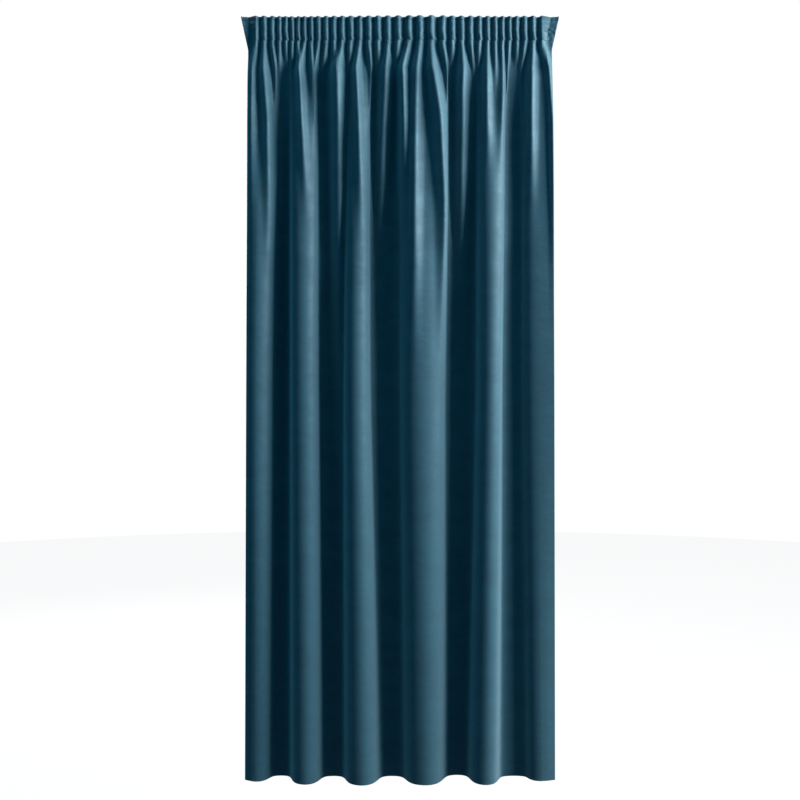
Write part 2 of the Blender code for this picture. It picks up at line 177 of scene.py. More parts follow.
# The mesh's levels: up to each drop, how many more there are.
Spacing = namedtuple("Spacing", "until count")
SPACINGS = (
    Spacing(0.009, 3),
    Spacing(0.084, 24),
    Spacing(0.105, 4),
    Spacing(0.200, 14),
    Spacing(0.400, 12),
    Spacing(0.800, 8),
    Spacing(2.360, 13),
)
COLUMNS_PER_PLEAT = 14
# More of them: how far in from the cloth's folded rims levels and columns lie, how far in from
# its sides the side hems' columns lie, and how far levels lie from the end of a turned layer,
# from a sewing line and above the bottom edge.
RIM_STEPS = (0.0, 0.0003, 0.0010, 0.0020)
SIDE_COLUMNS = (0.007, 0.013, 0.018)
BESIDE_HEM = 0.0015
BESIDE_SEWING = 0.0012
ABOVE_EDGE = 0.03
# A turned layer ends in a slope of this width.
HEM_SLOPE = 0.0012
# How far the hems' seams lie from the inner edge of the turned cloth, and where their rows of
# stitches begin and end: from a side edge, below the header and above the bottom hem's seam.
SEAM_FROM_FOLD = 0.003
SEAM_FROM_SIDE = 0.004
SEAM_BELOW_HEADER = 0.004
SEAM_ABOVE_HEM = 0.002

# The tape's columns, from the cloth's side edge, and the one with which the tape begins.
TAPE_COLUMNS = (0.0, 0.006, 0.012, 0.020, 0.0265)
TAPE_FROM_SIDE = 0.012
TAPE_COLUMNS_PER_PLEAT = 12
TAPE_ROWS = 17
# The upper sewing line's drop, and how far the lower one lies above the tape's lower edge.
UPPER_SEWING = 0.013
LOWER_SEWING = 0.006
SEWING_FROM_END = 0.001
# The drops at which the tape's rows of hook pockets and its draw cords run.
POCKET_DROPS = (0.033, 0.061)
CORD_DROPS = (0.0184, 0.047, 0.0746)
CORD_FROM_END = 0.003
CORD_STEP = 0.002
# A cord's knot: how steeply each of its turns slants, and how high it lies, in cord radii.
Turn = namedtuple("Turn", "slant lift")
TURNS = (
    Turn(1.0, 1.0),
    Turn(-1.0, 1.3),
    Turn(0.2, 0.7),
)

# How a pleat strays around the lower sewing line: how far below the line, and how far to the
# right as a share of its kink.
Kink = namedtuple("Kink", "level share")
KINKS = (
    Kink(-0.014, 0.3),
    Kink(-0.003, 1.0),
    Kink(0.004, -0.4),
    Kink(0.050, 0.0),
)
# The header's unevenness: its puff between the sewing lines, the dimple along each, and the
# puckers that die away from them. Slanting wrinkles are deeper in the flat ends.
PUFF = 0.0009
DIMPLE = 0.0007
DIMPLE_WIDTH = 0.0016
PUCKER = 0.0005
PUCKER_PITCHES = (0.007, 0.019)
PUCKER_REACH = 0.010
WRINKLE = 0.0003
END_WRINKLE = 0.0009
WRINKLE_PITCHES = ((0.010, 0.028), (0.012, 0.030))
WRINKLE_SLANTS = (-1.2, 1.2)
FLAT_END = 0.020
# The header's flat ends curl to the front: from how far out, over what width, and how far.
CURL_FROM = 0.470
CURL_WIDTH = 0.040
CURL = 0.007

# Pitches of the weaves and twists in the materials.
REVERSE_WEAVE = 0.0011
TAPE_RIB = 0.0016
TAPE_PICK = 0.0009
CORD_TWIST = 0.0012
THREAD_TWIST = 0.0005

SAMPLES = 3000
# Halving finds each level's values between these: pleat heights in shares of their pitch, the
# broad folds' depth in shares of its value at the hem, and how much the pleats swell.
HALVINGS = 30
PLEAT_HEIGHTS = (0.1, 1.4)
DEPTHS = (0.0, 1.6)
SWELLS = (0.7, 2.0)

# The lamps: where each stands and what it is turned to, its size, and the names of the stage's
# values that hold its power and colour.
Lamp = namedtuple("Lamp", "name place target width height power colour")
LAMPS = (
    Lamp("key", (3.80, -1.23, 0.80), (0.0, 0.0, -0.5), 2.5, 1.4, "key_power", "key_colour"),
    Lamp("back", (-1.9, 4.2, 0.4), (0.0, 0.0, -1.1), 2.0, 1.6, "back_power", "key_colour"),
    Lamp("soft", (2.7, -3.2, 0.5), (0.0, 0.0, -0.9), 2.0, 1.6, "soft_power", "weak_colour"),
    Lamp("fill", (-3.2, -2.2, -0.4), (0.0, 0.0, -1.2), 1.2, 2.0, "fill_power", "weak_colour"),
)
SENSOR_WIDTH = 36.0
FLOOR_REACH = 9.0


def length_property(name, description, default, digits=3):
    return FloatProperty(
        name=name, description=description, default=default, precision=digits, unit="LENGTH"
    )


def share_property(name, description, default):
    return FloatProperty(name=name, description=description, default=default, subtype="FACTOR")


def power_property(name, description, default):
    return FloatProperty(name=name, description=description, default=default, unit="POWER")


def colour_property(name, description, default):
    return FloatVectorProperty(
        name=name, description=description, default=default, size=3, subtype="COLOR"
    )


class CurtainSizes(bpy.types.PropertyGroup):
    """Sizes of the cloth and its tape that a maker would change."""

    flat_width: length_property("Flat width", "Width of the sewn cloth as it lies flat", 1.40)
    drop: length_property(
        "Drop", "Length of the sewn cloth from its top edge to its hem", CLOTH_HIGH.z - CLOTH_LOW.z
    )
    cloth: length_property("Cloth", "Thickness of the velvet", 0.0010, 4)
    header: length_property("Header", "Depth of the top that is turned to the back", 0.105)
    side_hem: length_property("Side hem", "Width of the hems down both sides", 0.025)
    bottom_hem: length_property("Bottom hem", "Depth of the hem at the bottom", 0.080)
    half_width_top: length_property(
        "Half width below the header", "Half of the hung width just below the header", 0.4885
    )
    half_width_hem: length_property(
        "Half width at the hem", "Half of the hung width at the hem", 0.498
    )
    half_width_corners: length_property(
        "Half width at the corners", "Half of the hung width at the top edge", CLOTH_HIGH.x
    )
    tape_top: length_property(
        "Tape's upper edge", "How far below the top edge the gathering tape begins", -TAPE_HIGH.z, 4
    )
    tape_depth: length_property(
        "Tape depth", "Depth of the gathering tape", TAPE_HIGH.z - TAPE_LOW.z, 4
    )
    tape_gap: length_property("Tape gap", "Room between the header and the tape", 0.0003, 4)
    tape_thickness: length_property(
        "Tape thickness", "Thickness of the tape's woven band", 0.0006, 4
    )
    stitch: length_property("Stitch", "Length of one stitch and the gap after it", 0.0040, 4)
    thread: length_property("Thread", "Radius of the sewing thread", 0.00022, 5)
    draw_cord: length_property("Draw cord", "Radius of the cords that gather the tape", 0.0007, 4)
    pocket_pitch: length_property(
        "Pocket pitch", "Distance between the tape's hook pockets when it lies flat", 0.0125, 4
    )
    pocket_length: length_property(
        "Pocket length", "Length of a hook pocket's woven strip, down the tape", 0.015, 4
    )
    pocket_width: length_property("Pocket width", "Width of a hook pocket's strip", 0.0052, 4)
    pocket_rise: length_property(
        "Pocket rise", "How far a hook pocket's strip stands off the tape", 0.0010, 4
    )
    pocket_thickness: length_property(
        "Pocket thickness", "Thickness of a hook pocket's strip", 0.0004, 4
    )


class CurtainFinish(bpy.types.PropertyGroup):
    """Colours and surface values of the cloth, tape and thread."""

    # velvet_dark and velvet_light carry painted sheen: their lighter and darker patches stand in for
    # the light that the pile throws back.
    velvet_dark: colour_property(
        "Velvet, laid pile", "Colour where the pile lies away from the light", (0.0010, 0.047, 0.077)
    )
    velvet_light: colour_property(
        "Velvet, raised pile", "Colour where the pile stands up", (0.0040, 0.066, 0.100)
    )
    sheen_tint: colour_property(
        "Sheen", "Colour of the light that the pile's tips throw back", (0.66, 0.90, 1.0)
    )
    sheen: share_property("Sheen weight", "How much light the pile's tips throw back", 0.90)
    sheen_roughness: share_property("Sheen roughness", "How far that light spreads", 0.50)
    reverse: colour_property(
        "Reverse", "Colour of the velvet's plain woven reverse", (0.030, 0.092, 0.130)
    )
    tape: colour_property("Tape", "Colour of the gathering tape and its cords", (0.60, 0.62, 0.61))
    thread: colour_property("Thread", "Colour of the sewing thread", (0.012, 0.060, 0.095))


class CurtainStage(bpy.types.PropertyGroup):
    """The light, floor and camera."""

    camera_distance: length_property(
        "Camera distance", "How far in front of the curtain the camera stands", 3.4
    )
    camera_height: length_property(
        "Camera height", "Where the camera stands, from the top edge", -1.231
    )
    view_width: length_property(
        "View width", "Width that the picture takes in at the curtain", 2.567
    )
    key_power: power_property("Key light", "Power of the large light at the right", 520.0)
    back_power: power_property("Back light", "Power of the light behind the curtain", 250.0)
    soft_power: power_property("Soft light", "Power of the soft light at the front right", 14.0)
    fill_power: power_property("Fill light", "Power of the weak light at the left", 10.0)
    key_colour: colour_property(
        "Strong lights' colour", "Colour of the key light and of the back light", (1.0, 1.0, 1.0)
    )
    weak_colour: colour_property(
        "Weak lights' colour", "Colour of the soft light and of the fill light", (0.25, 0.78, 1.0)
    )
    room_light: FloatProperty(
        name="Room light", description="Strength of the even light from all around", default=0.28
    )
    room_colour: colour_property(
        "Room light colour", "Colour of the even light from all around", (0.0, 0.64, 1.0)
    )
    floor_drop: length_property("Floor", "How far the floor lies below the hem", 0.30)
    floor_colour: colour_property(
        "Floor colour", "What the floor throws back of the lamps' light", (0.06, 0.06, 0.06)
    )
    floor_glow: FloatProperty(
        name="Floor glow",
        description="Light that the floor gives off, so that it stays pale out of the lamps' reach",
        default=0.93,
    )
    floor_segments: IntProperty(
        name="Floor segments", description="Sides of the round floor", default=96
    )


# How the cloth hangs

def ease(share):
    """A smooth step from 0 to 1."""
    share = np.clip(share, 0.0, 1.0)
    return share * share * (3.0 - 2.0 * share)


def ridge(share):
    """The fourth power of a cosine: a rounded crest that ends level at -1 and 1."""
    return np.cos(np.pi / 2 * np.clip(share, -1.0, 1.0)) ** 4


def length_of(x, y):
    """The length of each row's line."""
    return np.hypot(np.diff(x, axis=1), np.diff(y, axis=1)).sum(axis=1)


def shares_along(x, y):
    """How far along a line each of its points is, from 0 to 1."""
    along = np.concatenate([[0.0], np.cumsum(np.hypot(np.diff(x), np.diff(y)))])
    return along / along[-1]


def spline(points):
    """Each row's uniform cubic B-spline, which starts and ends at its first and last point."""
    first, last = 2 * points[:, :1] - points[:, 1:2], 2 * points[:, -1:] - points[:, -2:-1]
    points = np.hstack([first, points, last])
    along = np.linspace(0, points.shape[1] - 3, SAMPLES)
    start = np.minimum(along.astype(int), points.shape[1] - 4)
    t = along - start
    weights = (
        (1 - t) ** 3 / 6,
        (3 * t**3 - 6 * t**2 + 4) / 6,
        (-3 * t**3 + 3 * t**2 + 3 * t + 1) / 6,
        t**3 / 6,
    )
    return sum(weight * points[:, start + step] for step, weight in enumerate(weights))


def pleat_places():
    """Where the pleats stand along the tape: the uneven pitch's inverse, summed up."""
    x = np.linspace(FIRST_PLEAT, LAST_PLEAT, SAMPLES)
    density = 1.0 / np.interp(x, [p.x for p in PITCHES], [p.pitch for p in PITCHES])
    count = np.concatenate([[0.0], np.cumsum((density[1:] + density[:-1]) / 2)])
    return np.interp(np.arange(PLEATS), count * (PLEATS - 1) / count[-1], x)


class HungCloth:
    """The cloth's shape, worked out from its sizes and the fold tables."""

    def __init__(self, sizes):
        self.sizes = sizes
        self.tape_end = sizes.tape_top + sizes.tape_depth
        self.places = pleat_places()
        self.gaps = np.diff(self.places)
        random = np.random.default_rng(5)
        self.lengths = random.uniform(SHORTEST_PLEAT, LONGEST_PLEAT, PLEATS)
        self.sways = random.uniform(-1.0, 1.0, (PLEATS, 3))
        self.sewn = (UPPER_SEWING, self.tape_end - LOWER_SEWING)

    def half_width(self, drop):
        """Half the hung width: straight lines from the hem up to the header's end, and from
        there out to its corners.
        """
        sizes = self.sizes
        body = np.interp(
            drop, [sizes.header, sizes.drop], [sizes.half_width_top, sizes.half_width_hem]
        )
        flare = sizes.half_width_corners - sizes.half_width_top
        return body + flare * np.clip(1.0 - drop / sizes.header, 0.0, 1.0)

    def broad_folds(self, drop):
        """x, stand and plain x of the broad folds, a row for each level.

        The line is a uniform cubic spline drawn to the points of each fold's form. Plain x is
        the same with every fold soft.
        """
        crest = (len(FORM) - 1) / 2
        plain_x, across, up = [], [], []
        for number, fold in enumerate(FOLDS):
            left = (fold.left_upper, fold.left_middle, fold.left_hem)
            right = (fold.right_upper, fold.right_middle, fold.right_hem)
            left, right = (np.interp(drop, FOLD_LEVELS, side) for side in (left, right))
            floor = (FOLDS[max(number - 1, 0)].floor, fold.floor)
            stand = np.interp(drop, FOLD_LEVELS, (fold.stand, fold.stand, fold.stand_hem))
            for place, form in enumerate(FORM):
                upper = fold.crisp_left if place < crest else fold.crisp_right
                crisp = np.interp(drop, CRISP_LEVELS, (0.0, upper, upper, 0.0))
                foot = floor[place > crest]
                share = form.soft_across + (form.crisp_across - form.soft_across) * crisp
                height = form.soft_up + (form.crisp_up - form.soft_up) * crisp
                plain_x.append(left + (right - left) * form.soft_across)
                across.append(left + (right - left) * share)
                up.append(foot + (stand - foot) * height)
        plain_x, across, up = (np.array(values).T for values in (plain_x, across, up))
        side = self.half_width(drop)[:, None]
        ends = [
            np.interp(drop, FOLD_LEVELS, (edge.upper, edge.middle, edge.hem))[:, None]
            for edge in EDGES
        ]
        kept = slice(CUT_POINTS, -CUT_POINTS)
        plain_x = np.hstack([-side, plain_x[:, kept], side])
        across = np.hstack([-side, across[:, kept], side])
        up = np.hstack([ends[0], up[:, kept], ends[1]])
        return spline(across), spline(up), spline(plain_x)

    def sway(self, number, drop):
        """How far one pleat's crest strays sideways: it is held at the upper sewing line, strays
        above and below it, and kinks to the right and back where the lower one lets it go.
        """
        upper, lower = self.sewn
        first, second, third = self.sways[number]
        kink = KINK_SWAY * (0.6 + 0.4 * third)
        levels = [0.0, upper, (upper + lower) / 2] + [lower + row.level for row in KINKS]
        strays = [first * PLEAT_SWAY, 0.0, second * PLEAT_SWAY]
        strays += [kink * row.share for row in KINKS]
        return np.interp(drop, levels, strays)

    def short_pleat(self, number, tall, reach, drop):
        """Crest, height, reach to each side and lean of a pleat that soon opens."""
        height = tall * (1 - ease((drop - self.tape_end) / self.lengths[number]))
        same = np.ones_like(drop)
        crest = self.places[number] + self.sway(number, drop)
        return crest, height, reach[0] * same, reach[1] * same, 0 * same

    def running_pleat(self, number, tall, reach, drop, run):
        """The same for a pleat that runs on below the tape as a fold of its own."""
        opened = ease((drop - self.tape_end) / RUNNER_OPENING)
        start = self.tape_end + (1 - RUNNER_FADE) * run.reach
        gone = ease((drop - start) / (RUNNER_FADE * run.reach))
        levels = (self.tape_end, *RUNNER_LEVELS)
        stands = (self.places[number], run.x_upper, run.x_middle, run.x_lower)
        crest = np.interp(drop, levels, stands) + self.sway(number, drop)
        height = (tall * (1 - opened) + run.stand * opened) * (1 - gone)
        left, right = (side * (1 - opened) + run.half_width * opened for side in reach)
        return crest, height, left, right, run.lean * opened

    def pleats(self, drop, plain, tallness):
        """How far the pleats stand to the front and go to the right, along each level.

        A sine of twice the pleats' pace goes to the right as well. It is what rounds their
        crests and hollows and makes their sides upright.
        """
        places, gaps = self.places, self.gaps
        running = {run.pleat: run for run in RUNNERS}
        stand = np.zeros_like(plain)
        first, last = 1.5 * places[0] - places[1] / 2, 1.5 * places[-1] - places[-2] / 2
        ends = np.concatenate([[first], places, [last]])
        count = np.interp(plain, ends, np.concatenate([[-0.5], np.arange(PLEATS), [PLEATS - 0.5]]))
        pitch = np.interp(count, np.arange(PLEATS - 1) + 0.5, gaps)
        fade = 1 - ease((drop - self.tape_end) / ROUNDED_BELOW_TAPE)[:, None]
        right = PLEAT_ROUNDING * fade * pitch * np.sin(4 * np.pi * count) / (4 * np.pi)
        for number in range(PLEATS):
            gap = gaps[max(number - 1, 0)], gaps[min(number, PLEATS - 2)]
            tall = tallness * (gap[0] + gap[1]) / 2
            reach = PLEAT_REACH * gap[0], PLEAT_REACH * gap[1]
            if number in running:
                shape = self.running_pleat(number, tall, reach, drop, running[number])
            else:
                shape = self.short_pleat(number, tall, reach, drop)
            crest, height, before, after, over = (values[:, None] for values in shape)
            off = plain - crest
            here = height * ridge(off / np.where(off < 0, before, after))
            stand += here
            right += over * here
        return stand, right

    def solve(self, width_of, limits, rows):
        """By halving, the value for each level at which width_of gives the flat width."""
        low, high = (np.full(rows, limit) for limit in limits)
        for _ in range(HALVINGS):
            middle = (low + high) / 2
            short = width_of(middle) < self.sizes.flat_width
            low = np.where(short, middle, low)
            high = np.where(short, high, middle)
        return (low + high) / 2

    def tallness_at(self, drop):
        """How tall the pleats are, as a share of their pitch, to take up the cloth."""
        taped = np.linspace(0.0, self.tape_end, 12)
        x, _, plain = self.broad_folds(taped)

        def width_of(tallness):
            stand, right = self.pleats(taped, plain, tallness)
            return length_of(x + right, stand)

        return np.interp(drop, taped, self.solve(width_of, PLEAT_HEIGHTS, len(taped)))

    def sections(self, drop):
        """The cloth's front as seen from above, x and y along each level, and plain x.

        On the tape the pleats take up the cloth. Below it the broad folds are as deep as it
        takes for the line to keep the cloth's width, but they deepen gradually and the pleats
        swell to take up the rest.
        """
        rows = len(drop)
        x, broad, plain = self.broad_folds(drop)
        tallness = self.tallness_at(drop)
        stand, right = self.pleats(drop, plain, tallness)
        depth = self.solve(
            lambda k: length_of(x + right, broad * k[:, None] + stand), DEPTHS, rows
        )
        most = np.maximum(DEEPENING * (drop - self.tape_end), 0.0)
        swollen = (depth > most) & (most > 0)
        depth = np.minimum(depth, most)[:, None]
        swell = self.solve(
            lambda k: length_of(x + right, broad * depth + stand * k[:, None]), SWELLS, rows
        )
        stand *= np.where(swollen, swell, 1.0)[:, None]
        middle = tallness[:, None] * np.mean(self.gaps) / 2
        settle = middle * (1 - ease(drop / self.sizes.header - 1))[:, None]
        return x + right, settle - broad * depth - stand, plain

    def grid(self, drop, edges, per_pleat):
        """Points of the front on a grid of levels by columns, and how far across each lies.

        On the tape the columns keep their places on the pleats, and below it their places in
        the cloth. The header's flat ends curl to the front, less and less below the tape.
        """
        x, y, plain = self.sections(drop)
        taped = np.minimum(drop, self.tape_end)
        count = np.arange((PLEATS - 1) * per_pleat + 1) / per_pleat
        fine = np.interp(count, np.arange(PLEATS), self.places)
        edge = np.array(edges) / self.sizes.flat_width
        across = np.empty((len(drop), 2 * len(edge) + len(fine)))
        points = np.empty((*across.shape, 3))
        lower = self.sections(np.array([self.tape_end]))
        for row in range(len(drop)):
            along = shares_along(x[row], y[row])
            if taped[row] < self.tape_end:
                pleated = np.interp(fine, plain[row], along)
            else:
                pleated = np.interp(fine, lower[2][0], shares_along(lower[0][0], lower[1][0]))
            across[row] = np.concatenate([edge, pleated, 1 - edge[::-1]])
            points[row, :, 0] = np.interp(across[row], along, x[row])
            points[row, :, 1] = np.interp(across[row], along, y[row])
        curled = np.clip((np.abs(points[:, :, 0]) - CURL_FROM) / CURL_WIDTH, 0.0, 1.0)
        held = 1 - ease((drop - self.tape_end) / CURL_WIDTH)[:, None]
        points[:, :, 1] -= CURL * curled**1.5 * held
        points[:, :, 2] = -drop[:, None]
        return points, across * self.sizes.flat_width


# Meshes from grids

def ways_back(points):
    """The unit way from the front to the back at each point: the cross product of the ways
    along the grid's columns and rows, averaged with its neighbours'.
    """
    across, down = np.gradient(points, axis=1), np.gradient(points, axis=0)
    way = np.cross(across, down)
    way /= np.linalg.norm(way, axis=2, keepdims=True)
    for _ in range(2):
        wider = np.pad(way, ((1, 1), (1, 1), (0, 0)), mode="edge")
        way = (wider[:, :-2] + 2 * wider[:, 1:-1] + wider[:, 2:]) / 4
        way = (way[:-2] + 2 * way[1:-1] + way[2:]) / 4
        way /= np.linalg.norm(way, axis=2, keepdims=True)
    return way


def put_in_scene(name, vertices, faces, materials, per_face=None, uv=None):
    """A shaded object from arrays of vertices and four-sided faces."""
    mesh = bpy.data.meshes.new(name)
    mesh.vertices.add(len(vertices))
    mesh.vertices.foreach_set("co", vertices.astype(np.float32).ravel())
    mesh.loops.add(faces.size)
    mesh.loops.foreach_set("vertex_index", faces.astype(np.int32).ravel())
    mesh.polygons.add(len(faces))
    mesh.polygons.foreach_set("loop_start", np.arange(0, faces.size, 4, dtype=np.int32))
    mesh.update(calc_edges=True)
    for material in materials:
        mesh.materials.append(material)
    if per_face is not None:
        mesh.polygons.foreach_set("material_index", per_face.astype(np.int32))
    if uv is not None:
        layer = mesh.uv_layers.new(name="Cloth")
        layer.data.foreach_set("uv", uv[faces.ravel()].astype(np.float32).ravel())
    mesh.validate()
    mesh.shade_smooth()
    obj = bpy.data.objects.new(name, mesh)
    bpy.context.scene.collection.objects.link(obj)
    return obj


def grid_faces(number, flipped=False):
    """Four-sided faces between a grid's neighbouring points, from their numbers."""
    corners = [number[:-1, :-1], number[1:, :-1], number[1:, 1:], number[:-1, 1:]]
    if flipped:
        corners.reverse()
    return np.stack(corners, axis=-1).reshape(-1, 4)


def closed_cloth(front, back):
    """Vertices and faces of a closed sheet whose two layers meet all round their edge.

    The layers are grids of the same size. The back's edge points are the front's own.
    """
    rows, columns = front.shape[:2]
    first = np.arange(rows * columns).reshape(rows, columns)
    second = first.copy()
    inside = np.arange((rows - 2) * (columns - 2)).reshape(rows - 2, columns - 2)
    second[1:-1, 1:-1] = rows * columns + inside
    vertices = np.concatenate([front.reshape(-1, 3), back[1:-1, 1:-1].reshape(-1, 3)])
    return vertices, grid_faces(first), grid_faces(second, flipped=True)


def flat_map(across, drop):
    """Where each vertex of such a sheet lies on the flat cloth: how far across, and its drop."""
    flat = np.stack([across, np.broadcast_to(drop[:, None], across.shape)], axis=-1)
    return np.concatenate([flat.reshape(-1, 2), flat[1:-1, 1:-1].reshape(-1, 2)])


def repeated(shape_vertices, shape_faces, centres, along, beside, out):
    """Copies of one small shape: its x goes along, its y beside and its z out at each centre."""
    vertices = (
        centres[:, None]
        + along[:, None] * shape_vertices[None, :, 0:1]
        + beside[:, None] * shape_vertices[None, :, 1:2]
        + out[:, None] * shape_vertices[None, :, 2:3]
    )
    faces = shape_faces[None] + len(shape_vertices) * np.arange(len(centres))[:, None, None]
    return vertices.reshape(-1, 3), faces.reshape(-1, 4)


def closed_tube(rings):
    """Vertices and faces of a tube through rings of points, with a flat cap at both ends.

    Each ring turns to the right as seen along the tube, and has an even number of points.
    """
    count, sides = rings.shape[:2]
    number = np.arange(count * sides).reshape(count, sides)
    looped = np.concatenate([number, number[:, :1]], axis=1)
    faces = [grid_faces(looped, flipped=True)]
    for ring, order in ((number[0], -1), (number[-1], 1)):
        for start in range(sides // 2 - 1):
            quad = [ring[start], ring[start + 1], ring[sides - 2 - start], ring[sides - 1 - start]]
            faces.append(np.array([quad[::order]]))
    return rings.reshape(-1, 3), np.concatenate(faces)


def capsule(length, radius, rings=5, sides=6):
    """A stitch along x: rings whose radius is the root of a sine from end to end. It starts and
    stops an eighth of the way in, so that its ends are blunt.
    """
    turn = np.linspace(0.12 * np.pi, 0.88 * np.pi, rings)[:, None]
    around = np.linspace(0.0, 2 * np.pi, sides, endpoint=False)[None]
    x = -np.cos(turn) * length / 2 * np.ones_like(around)
    y = np.sin(turn) ** 0.5 * np.cos(around) * radius
    z = np.sin(turn) ** 0.5 * np.sin(around) * radius
    return closed_tube(np.stack([x, y, z], axis=-1))


def cord_tube(path, radius, sides=6):
    """A cord: round sections across a level path, each a circle in the plane of up and of the
    way square to up and to the path.
    """
    way = np.gradient(path, axis=0)
    way /= np.linalg.norm(way, axis=1, keepdims=True)
    up = np.array([0.0, 0.0, 1.0]) - way * way[:, 2:3]
    up /= np.linalg.norm(up, axis=1, keepdims=True)
    side = np.cross(way, up)
    around = np.linspace(0.0, 2 * np.pi, sides, endpoint=False)[None, :, None]
    ring = up[:, None] * np.cos(around) + side[:, None] * np.sin(around)
    return closed_tube(path[:, None] + radius * ring)


def joined(parts):
    """Several meshes' vertices and faces as one mesh's."""
    starts = np.cumsum([0] + [len(vertices) for vertices, _ in parts[:-1]])
    faces = [faces + start for start, (_, faces) in zip(starts, parts)]
    return np.concatenate([vertices for vertices, _ in parts]), np.concatenate(faces)


def sampled(values, place, at):
    """Rows of values, known at rising places, read off at other places between them."""
    return np.stack([np.interp(at, place, column) for column in values.T], axis=1)


def unit(ways):
    """Each way scaled to a length of one."""
    return ways / np.linalg.norm(ways, axis=1, keepdims=True)


def stitches(line, out, place, ends, sizes):
    """A row of stitches along a line of points, from one place on it to another.

    Each is a capsule half sunk into the cloth, four fifths of the stitch's length long, and they
    follow one another at one pitch.
    """
    at = np.arange(ends[0], ends[1], sizes.stitch)
    out = unit(sampled(out, place, at))
    centres = sampled(line, place, at) + 0.4 * sizes.thread * out
    along = unit(np.gradient(centres, axis=0))
    shape = capsule(0.8 * sizes.stitch, sizes.thread)
    return repeated(*shape, centres, along, unit(np.cross(out, along)), out)


# Materials

class Wire:
    """A socket's value in a material. Arithmetic on it adds Math nodes."""

    def __init__(self, paint, socket):
        self.paint = paint
        self.socket = socket

    def _math(self, operation, *values):
        return self.paint.node("ShaderNodeMath", {"operation": operation}, dict(enumerate(values)))

    def __add__(self, other):
        return self._math("ADD", self, other)

    def __sub__(self, other):
        return self._math("SUBTRACT", self, other)

    def __rsub__(self, other):
        return self._math("SUBTRACT", other, self)

    def __mul__(self, other):
        return self._math("MULTIPLY", self, other)

    __radd__ = __add__
    __rmul__ = __mul__

    def sine(self):
        return self._math("SINE", self)


class Paint:
    """One material and the nodes in it."""

    def __init__(self, name):
        self.material = bpy.data.materials.new(name)
        self.material.use_nodes = True
        self.tree = self.material.node_tree
        self.shader = self.tree.nodes["Principled BSDF"]

    def node(self, kind, settings=None, values=None, output=0):
        """A new node: its settings first, then its sockets' values or links."""
        made = self.tree.nodes.new(kind)
        for setting, value in (settings or {}).items():
            setattr(made, setting, value)
        for key, value in (values or {}).items():
            self.feed(made.inputs[key], value)
        return Wire(self, made.outputs[output])

    def feed(self, socket, value):
        if isinstance(value, Wire):
            self.tree.links.new(value.socket, socket)
        else:
            socket.default_value = value

    def set(self, **values):
        """Sets or links the shader's sockets, named with underscores for spaces."""
        for key, value in values.items():
            self.feed(self.shader.inputs[key.replace("_", " ")], value)

    def cloth_place(self):
        """Across and drop in metres, from the piece's own map."""
        return self.node("ShaderNodeUVMap", {"uv_map": "Cloth"})

    def parts(self, place, *axes):
        """The parts of a place that are asked for: 0 is x, 1 is y and 2 is z."""
        split = self.node("ShaderNodeSeparateXYZ", None, {0: place}).socket.node
        return [Wire(self, split.outputs[axis]) for axis in axes]

    def ridges(self, along, pitch):
        """A sine wave from -1 to 1, of the given pitch."""
        return (along * (2 * math.pi / pitch)).sine()

    def noise(self, place, across, down, detail, roughness, distortion=0.0):
        """Soft noise around one half, with so many spots to the metre across and down."""
        settings = {"operation": "MULTIPLY"}
        spots = self.node("ShaderNodeVectorMath", settings, {0: place, 1: (across, down, 1.0)})
        values = {
            "Vector": spots,
            "Scale": 1.0,
            "Detail": detail,
            "Roughness": roughness,
            "Distortion": distortion,
        }
        return self.node("ShaderNodeTexNoise", None, values)

    def mix(self, share, first, second):
        """A colour between two colours."""
        values = {0: share, 6: (*first, 1.0), 7: (*second, 1.0)}
        return self.node("ShaderNodeMix", {"data_type": "RGBA"}, values, 2)

    def spread(self, value, low, high, to_low=0.0, to_high=1.0):
        """A value's range stretched smoothly onto another."""
        values = {0: value, 1: low, 2: high, 3: to_low, 4: to_high}
        return self.node("ShaderNodeMapRange", {"interpolation_type": "SMOOTHSTEP"}, values)

    def bump(self, height, distance, strength, normal=None):
        values = {"Height": height, "Distance": distance, "Strength": strength}
        if normal is not None:
            values["Normal"] = normal
        return self.node("ShaderNodeBump", None, values)


def darker(colour, share):
    """A colour scaled down."""
    return tuple(share * channel for channel in colour)


def velvet(finish):
    """Short dense pile. Handling has laid it this way and that in long soft patches, painted a
    little darker or lighter in the base colour as painted sheen, and the tips throw light back at a
    slant.
    """
    paint = Paint("velvet")
    place = paint.cloth_place()
    brushed = paint.noise(place, 9.0, 16.0, 4.0, 0.55, 0.6)
    smudged = paint.noise(place, 30.0, 75.0, 3.0, 0.6, 0.4)
    pile = paint.noise(place, 1400.0, 1100.0, 2.0, 0.6)
    # The base colour carries painted sheen: the handling patches in laid, and the fine pile grain,
    # are painted lighter where the pile stands up and darker where it lies.
    laid = paint.spread(brushed * 0.65 + smudged * 0.35, 0.36, 0.64)
    shade = laid * 0.8 + pile * 0.2
    raised = paint.bump(brushed * 0.7 + smudged * 0.3, 0.0035, 0.5)
    paint.set(
        Base_Color=paint.mix(shade, finish.velvet_dark, finish.velvet_light),
        Roughness=paint.spread(laid, 0.0, 1.0, 0.66, 0.60),
        Specular_IOR_Level=0.5,
        Specular_Tint=(0.80, 0.94, 1.0, 1.0),
        Sheen_Weight=finish.sheen,
        Sheen_Roughness=finish.sheen_roughness,
        Sheen_Tint=(*finish.sheen_tint, 1.0),
        Normal=paint.bump(pile, 0.0006, 0.35, raised),
    )
    return paint.material


